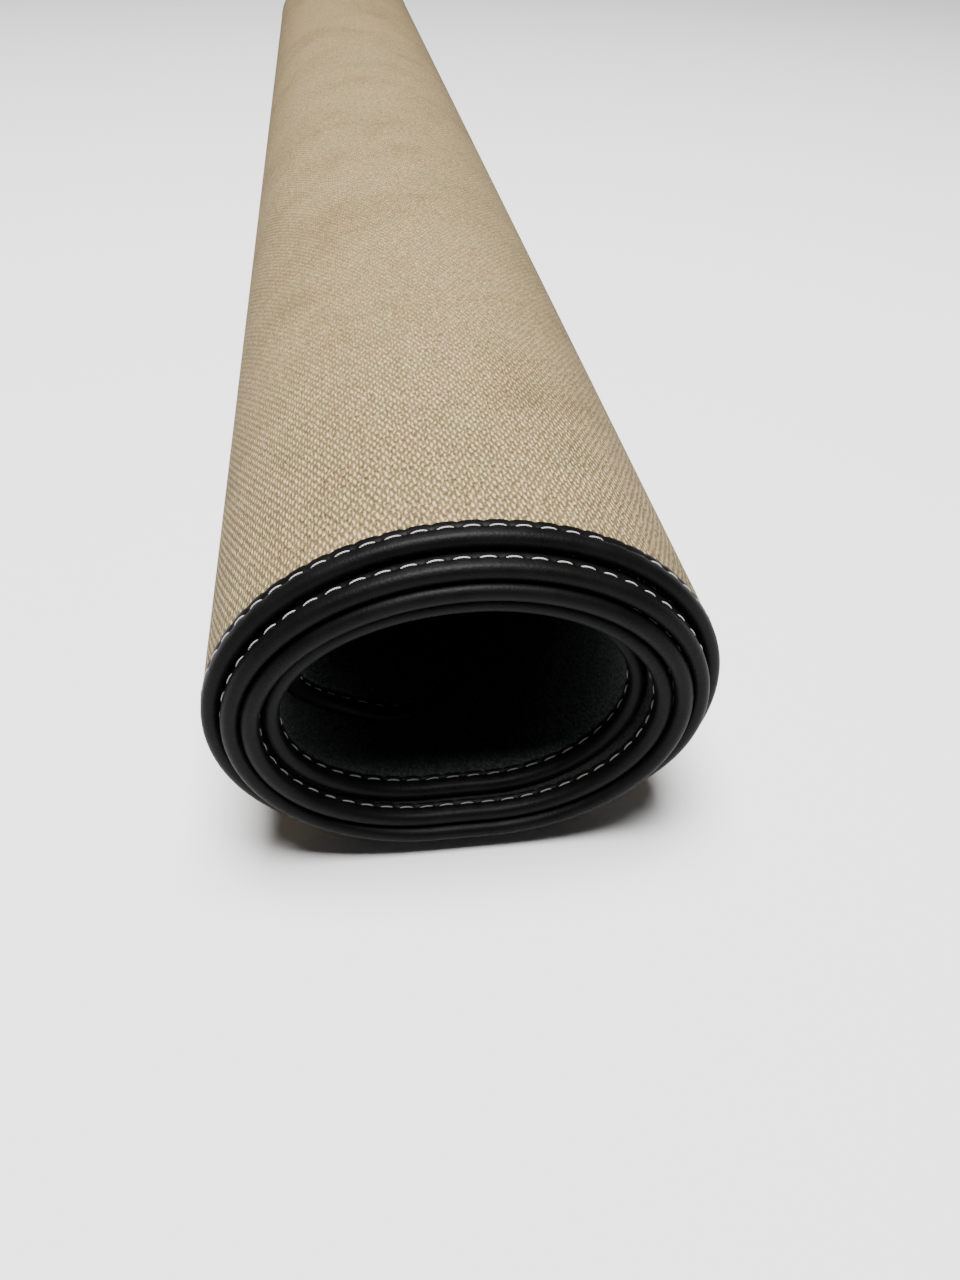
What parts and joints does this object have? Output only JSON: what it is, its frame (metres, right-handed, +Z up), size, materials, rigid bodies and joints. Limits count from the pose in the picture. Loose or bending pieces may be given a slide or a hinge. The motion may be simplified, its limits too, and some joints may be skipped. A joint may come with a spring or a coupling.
{
  "type": "practice putting mat",
  "caption": "Rolled practice putting mat, lying down: turf pile inside, tan twill backing outside, all edges bound in stitched black tape, with the outer free end hinged to peel open.",
  "frame": {"origin": "bottom centre of the bounding box, on the ground under the middle of the roll", "axes": "+Z up, +Y along the roll away from its near end, +X across the roll towards the side with the outer free end"},
  "size_m": [0.117, 0.9436, 0.0917],
  "materials": {
    "backing_twill": "tan cotton twill, matt",
    "cushion_foam": "closed-cell foam rubber",
    "carrier_cloth": "plain woven carrier",
    "turf_pile": "short dense dark green pile",
    "binding_tape": "black leatherette, satin",
    "seam_thread": "light grey bonded thread"
  },
  "bodies": {
    "roll": {"carrier_cloth": "carrier_cloth", "cushion_core": "cushion_foam", "far_bobbin_thread": "seam_thread", "far_needle_thread": "seam_thread", "far_side_tape": "binding_tape", "inner_bobbin_thread": "seam_thread", "inner_end_tape": "binding_tape", "inner_needle_thread": "seam_thread", "near_bobbin_thread": "seam_thread", "near_needle_thread": "seam_thread", "near_side_tape": "binding_tape", "turf_pile": "turf_pile", "twill_backing": "backing_twill"},
    "free_end_upper": {"carrier_cloth_flap1": "carrier_cloth", "cushion_core_flap1": "cushion_foam", "far_bobbin_thread_flap1": "seam_thread", "far_needle_thread_flap1": "seam_thread", "far_side_tape_flap1": "binding_tape", "near_bobbin_thread_flap1": "seam_thread", "near_needle_thread_flap1": "seam_thread", "near_side_tape_flap1": "binding_tape", "turf_pile_flap1": "turf_pile", "twill_backing_flap1": "backing_twill"},
    "free_end_lower": {"carrier_cloth_flap2": "carrier_cloth", "cushion_core_flap2": "cushion_foam", "far_bobbin_thread_flap2": "seam_thread", "far_needle_thread_flap2": "seam_thread", "far_side_tape_flap2": "binding_tape", "near_bobbin_thread_flap2": "seam_thread", "near_needle_thread_flap2": "seam_thread", "near_side_tape_flap2": "binding_tape", "outer_bobbin_thread": "seam_thread", "outer_end_tape": "binding_tape", "outer_needle_thread": "seam_thread", "turf_pile_flap2": "turf_pile", "twill_backing_flap2": "backing_twill"}
  },
  "joints": [
    {"name": "peel_upper", "type": "hinge", "parent": "roll", "child": "free_end_upper", "pos_m": [0.04423, 0, 0.07532], "axis": [0, -1, 0], "range_deg": [0, 28], "stiffness_Nm_per_rad": 0.6},
    {"name": "peel_lower", "type": "hinge", "parent": "free_end_upper", "child": "free_end_lower", "pos_m": [0.05769, 0, 0.03583], "axis": [0, -1, 0], "range_deg": [0, 28], "stiffness_Nm_per_rad": 0.3}
  ],
  "couplings": [
    {"joint": "peel_lower", "follows": "peel_upper", "ratio": 1}
  ]
}
